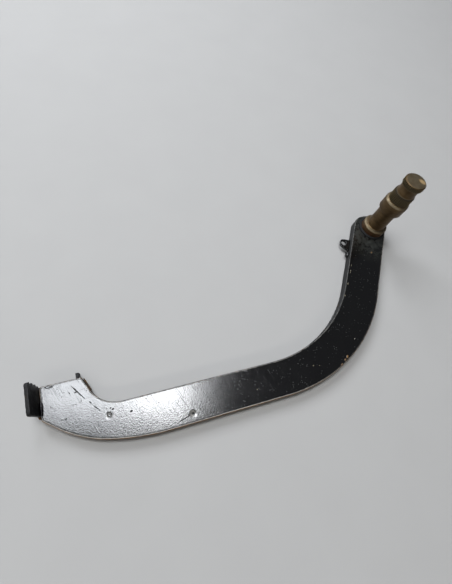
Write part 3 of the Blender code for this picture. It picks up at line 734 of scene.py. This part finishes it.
class LEVER_OT_cross_shaft(Operator):
    """Turned cross shaft with collar, waist, journal and two serrated bands"""

    bl_idname = "lever.cross_shaft"
    bl_label = "Cross Shaft"

    def execute(self, context):
        sizes = context.scene.lever_sizes
        rings, rubbed, bands = self.profile(sizes)
        shaft = turned("cross_shaft", rings, POINTS_PER_TOOTH * sizes.spline_teeth)
        apply_modifier(shaft, "BEVEL", width=EDGE_ROUNDING, segments=2, limit_method="ANGLE",
                       angle_limit=math.radians(28.0))
        material = aged_steel(context.scene.lever_colours, sizes, rubbed, bands)
        hand_over(shaft, material, "pivot_shaft", smooth_angle=35.0)
        return {"FINISHED"}

    @staticmethod
    def profile(sizes):
        """The shaft's rings from back to end, its rubbed rings and its serrated bands."""
        collar = sizes.collar_radius
        waist = sizes.waist_radius
        journal = sizes.journal_radius
        tips = sizes.spline_radius
        roots = tips - sizes.spline_depth
        neck = sizes.neck_radius
        back_chamfer = 0.4 * MM
        rings = [(sizes.shank_radius - back_chamfer, 0.0), (sizes.shank_radius, back_chamfer)]
        rubbed = []
        half = 0.55               # of a rubbed ring, as a share of its chamfer
        z = ARM_TOP + GAP
        rings += [(sizes.shank_radius, z), (collar, z)]
        z += sizes.collar_height
        rings.append((collar, z))
        rubbed.append((z + 0.5 * sizes.collar_chamfer, half * sizes.collar_chamfer))
        z += sizes.collar_chamfer
        rings.append((collar - sizes.collar_chamfer, z))
        for share in (0.0, 0.25, 0.5, 0.75, 1.0):
            lean = share * math.pi / 2.0
            radius = waist + 0.5 * sizes.waist_fillet * (1.0 - math.sin(lean))
            rings.append((radius, z + 0.5 * sizes.waist_fillet * (1.0 - math.cos(lean))))
        z += sizes.waist_length
        shoulder = journal - waist
        for degrees in (0.0, 15.0, 30.0, 45.0, 60.0, 75.0, 90.0):
            lean = math.radians(degrees)
            rings.append((journal - shoulder * math.cos(lean), z - shoulder * (1.0 - math.sin(lean))))
        z += sizes.journal_length
        rings.append((journal, z))
        rubbed.append((z + 0.5 * sizes.journal_chamfer, half * sizes.journal_chamfer))
        z += sizes.journal_chamfer
        rings.append((journal - sizes.journal_chamfer, z))
        inner_low = z + GAP
        rings.append((tips, inner_low, roots))
        z += sizes.inner_spline - sizes.spline_chamfer
        rings.append((tips, z, roots))
        z += sizes.spline_chamfer
        inner_high = z - 0.35 * sizes.spline_chamfer
        rings.append((neck + 0.25 * sizes.spline_depth, z))
        rubbed.append((z, 0.3 * MM))
        z += sizes.neck_length
        hollow = 0.25 * MM
        for share in (0.12, 0.35, 0.65, 0.88):
            dip = hollow * math.sin(math.pi * share)
            rings.append((neck - dip, z - sizes.neck_length * (1.0 - share)))
        rings.append((neck, z))
        outer_low = z + 0.5 * sizes.spline_chamfer
        outer_high = SHAFT_TOP - sizes.end_chamfer
        rings.append((tips, outer_low, roots))
        rings.append((tips, outer_high, roots))
        rings.append((tips - 0.6 * sizes.end_chamfer, outer_high + 0.35 * sizes.end_chamfer))
        rings.append((tips - 1.3 * sizes.end_chamfer, SHAFT_TOP - 0.1 * sizes.end_chamfer))
        rings.append((tips - 2.5 * sizes.end_chamfer, SHAFT_TOP))
        rubbed.append((SHAFT_TOP, 0.15 * sizes.end_chamfer))
        return rings, rubbed, ((inner_low, inner_high), (outer_low, outer_high))


class LEVER_OT_shaft_welds(Operator):
    """Weld rings that hold the shaft, in front round the collar and behind in a countersink"""

    bl_idname = "lever.shaft_welds"
    bl_label = "Shaft Welds"

    def execute(self, context):
        sizes = context.scene.lever_sizes
        colours = context.scene.lever_colours
        enamel = patchy_enamel("painted_weld_enamel", colours, lump=1.1 * MM, bare=0.12, gloss=0.85)
        front = ring_weld("collar_weld", sizes.collar_radius + 0.35 * MM, sizes.weld_radius,
                          z=ARM_TOP + 0.2 * MM, cut_z=ARM_TOP + 0.05 * MM, ripples=WELD_RIPPLES)
        roughen(front, depth=0.25 * MM, size=1.6 * MM)
        hand_over(front, enamel, "shaft_front_weld")
        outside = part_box("shaft_back_weld")[1].x
        bead = 0.5 * (outside - sizes.shank_radius)
        back = ring_weld("back_weld", outside - bead, 0.92 * bead,
                         z=0.95 * bead, cut_z=None, ripples=WELD_RIPPLES)
        roughen(back, depth=0.15 * MM, size=1.6 * MM)
        hand_over(back, enamel, "shaft_back_weld")
        return {"FINISHED"}


class LEVER_OT_spring_lug(Operator):
    """Lug with an eye for the return spring, and the weld at its root"""

    bl_idname = "lever.spring_lug"
    bl_label = "Spring Lug"

    def execute(self, context):
        sizes = context.scene.lever_sizes
        colours = context.scene.lever_colours
        lug = softened_copy("spring_hook", "spring_lug", sizes.small_voxel, passes=5)
        roughen(lug, depth=0.12 * MM, size=2.0 * MM)
        enamel = patchy_enamel("lug_enamel", colours, lump=1.4 * MM, bare=0.02, gloss=0.15)
        hand_over(lug, enamel, "spring_hook")
        bead = softened_copy("spring_hook_weld", "lug_weld", sizes.small_voxel, passes=3)
        roughen(bead, depth=0.5 * MM, size=1.3 * MM)
        painted = patchy_enamel("lug_weld_enamel", colours, lump=1.0 * MM, bare=0.1, gloss=0.3)
        hand_over(bead, painted, "spring_hook_weld")
        return {"FINISHED"}


class LEVER_OT_tread(Operator):
    """Serrated tread plate with the welds along its inner face and underneath"""

    bl_idname = "lever.tread"
    bl_label = "Tread"

    def execute(self, context):
        sizes = context.scene.lever_sizes
        colours = context.scene.lever_colours
        plate = softened_copy("tread_plate", "tread", sizes.small_voxel, passes=2)
        roughen(plate, depth=0.3 * MM, size=3.2 * MM)
        roughen(plate, depth=0.2 * MM, size=0.9 * MM)
        enamel = patchy_enamel("tread_enamel", colours, lump=1.6 * MM, bare=0.16, gloss=0.5)
        hand_over(plate, enamel, "tread_plate")
        painted = patchy_enamel("tread_weld_enamel", colours, lump=1.0 * MM, bare=0.12, gloss=0.22)
        bead = softened_copy("tread_weld_front", "tread_bead_front", sizes.small_voxel, passes=3)
        roughen(bead, depth=0.4 * MM, size=1.2 * MM)
        hand_over(bead, painted, "tread_weld_front")
        rusty = patchy_enamel("tread_weld_rust", colours, lump=1.0 * MM, bare=0.75, gloss=0.4)
        bead = softened_copy("tread_weld_lower", "tread_bead_lower", sizes.small_voxel, passes=3)
        roughen(bead, depth=0.3 * MM, size=1.2 * MM)
        hand_over(bead, rusty, "tread_weld_lower")
        return {"FINISHED"}


class LEVER_OT_heel(Operator):
    """Heel stub and the rope-like bead along the notch below it"""

    bl_idname = "lever.heel"
    bl_label = "Heel"

    def execute(self, context):
        sizes = context.scene.lever_sizes
        colours = context.scene.lever_colours
        stub = softened_copy("heel_tab", "heel_stub", sizes.small_voxel, passes=5)
        roughen(stub, depth=0.3 * MM, size=1.6 * MM)
        enamel = patchy_enamel("heel_enamel", colours, lump=1.2 * MM, bare=0.2, gloss=0.7)
        hand_over(stub, enamel, "heel_tab")
        bead = softened_copy("heel_weld", "heel_bead", sizes.small_voxel, passes=3)
        roughen(bead, depth=0.45 * MM, size=1.1 * MM)
        rusty = patchy_enamel("heel_weld_rust", colours, lump=1.0 * MM, bare=0.6, gloss=0.45)
        hand_over(bead, rusty, "heel_weld")
        return {"FINISHED"}


# ---------------------------------------------------------------- stage

CAMERA_PLACE = Vector((-0.2152, -0.1264, 0.2350))
CAMERA_AIM = Vector((-0.14645, -0.0321, 0.004))
CAMERA_ROLL = math.radians(17.0)
CAMERA_LENS = 20.96               # millimetres, on Blender's usual sensor of 36
CAMERA_SHIFT = -0.00086           # both ways, as a share of the picture's height
FLOOR_MIDDLE = (-0.15, -0.05, 0.0)
FLOOR_SIZE = 8.0
LIGHT_AIM = Vector((-0.14, -0.06, 0.0))
# Area lights: name, shape, place, size, watts, colour, and the turn in degrees of one that
# faces straight down, or None for one that is aimed at the lever
LIGHTS = (
    ("softbox", "RECTANGLE", (-0.37, 0.21, 1.5), (0.74, 0.3), 12.5, "#F6FAFF", -14.0),
    ("bright_middle", "ELLIPSE", (-0.17, 0.12, 1.49), (0.4, 0.28), 3.2, "#FFFFFF", -14.0),
    ("window", "RECTANGLE", (-0.5, 1.15, 1.15), (1.0, 0.8), 27.0, "#F4F8FF", None),
    ("rim_strip", "RECTANGLE", (-0.25, -1.1, 0.75), (1.6, 0.12), 3.0, "#FFFAF2", None),
    ("side_card", "RECTANGLE", (-1.3, 0.2, 1.0), (0.8, 0.8), 3.0, "#FFFFFF", None),
)


class LEVER_OT_stage(Operator):
    """Plain pale floor, soft studio lights, dim surroundings and the camera"""

    bl_idname = "lever.stage"
    bl_label = "Stage"

    def execute(self, context):
        bpy.ops.object.select_all(action="DESELECT")
        bpy.ops.mesh.primitive_plane_add(size=FLOOR_SIZE, location=FLOOR_MIDDLE)
        floor = context.object
        floor.name = "floor"
        bpy.ops.object.transform_apply(location=True, rotation=True, scale=True)
        floor.data.materials.append(floor_paint(context.scene.lever_colours))

        for name, shape, place, size, watts, colour, turn in LIGHTS:
            if turn is None:
                rotation = (LIGHT_AIM - Vector(place)).to_track_quat("-Z", "Y").to_euler()
            else:
                rotation = (0.0, 0.0, math.radians(turn))
            bpy.ops.object.light_add(type="AREA", location=place, rotation=rotation)
            light = context.object
            light.name = name
            light.data.shape = shape
            light.data.size, light.data.size_y = size
            light.data.energy = watts
            light.data.color = linear(colour)

        self.surroundings(context)
        self.camera(context)
        context.scene.view_settings.view_transform = "Standard"
        return {"FINISHED"}

    @staticmethod
    def surroundings(context):
        """Dim grey light from all round; the camera itself sees a pale backdrop."""
        world = bpy.data.worlds.new("studio")
        world.use_nodes = True
        tree = world.node_tree
        tree.nodes.clear()
        seen = put(tree, "ShaderNodeLightPath").node.outputs["Is Camera Ray"]
        light = put(tree, "ShaderNodeBackground", {}, {
            "Color": rgba(linear("#D0D2D6")), "Strength": 0.15})
        backdrop = put(tree, "ShaderNodeBackground", {}, {
            "Color": rgba(linear(BACKDROP)), "Strength": 1.0})
        both = put(tree, "ShaderNodeMixShader", {}, {0: seen, 1: light, 2: backdrop})
        output = tree.nodes.new("ShaderNodeOutputWorld")
        tree.links.new(both, output.inputs["Surface"])
        context.scene.world = world

    @staticmethod
    def camera(context):
        data = bpy.data.cameras.new("camera")
        data.lens = CAMERA_LENS
        data.shift_x = data.shift_y = CAMERA_SHIFT
        data.clip_start = 0.01
        camera = bpy.data.objects.new("camera", data)
        context.scene.collection.objects.link(camera)
        ahead = (CAMERA_AIM - CAMERA_PLACE).normalized()
        level = Vector((0.0, 1.0, 0.0))
        level = (level - level.dot(ahead) * ahead).normalized()
        up = level * math.cos(CAMERA_ROLL) + ahead.cross(level) * math.sin(CAMERA_ROLL)
        turn = Matrix((ahead.cross(up), up, -ahead)).transposed()
        camera.matrix_world = Matrix.Translation(CAMERA_PLACE) @ turn.to_4x4()
        context.scene.camera = camera


class LEVER_PT_panel(Panel):
    """Lists the lever's pieces, sizes and colours"""

    bl_idname = "LEVER_PT_panel"
    bl_label = "Lever"
    bl_space_type = "VIEW_3D"
    bl_region_type = "UI"
    bl_category = "Lever"

    def draw(self, context):
        for step in STEPS:
            self.layout.operator(step.bl_idname)
        for group in (context.scene.lever_sizes, context.scene.lever_colours):
            box = self.layout.box()
            for name in group.__annotations__:
                box.prop(group, name)


STEPS = (
    LEVER_OT_stage,
    LEVER_OT_plate_arm,
    LEVER_OT_cross_shaft,
    LEVER_OT_shaft_welds,
    LEVER_OT_spring_lug,
    LEVER_OT_tread,
    LEVER_OT_heel,
)
CLASSES = (LeverSizes, LeverColours, *STEPS, LEVER_PT_panel)


def register():
    for cls in CLASSES:
        bpy.utils.register_class(cls)
    bpy.types.Scene.lever_sizes = PointerProperty(type=LeverSizes)
    bpy.types.Scene.lever_colours = PointerProperty(type=LeverColours)


def unregister():
    del bpy.types.Scene.lever_colours
    del bpy.types.Scene.lever_sizes
    for cls in reversed(CLASSES):
        bpy.utils.unregister_class(cls)


def main():
    register()
    bpy.ops.lever.stage()
    bpy.ops.lever.plate_arm()
    bpy.ops.lever.cross_shaft()
    bpy.ops.lever.shaft_welds()
    bpy.ops.lever.spring_lug()
    bpy.ops.lever.tread()
    bpy.ops.lever.heel()


if __name__ == "__main__":
    main()
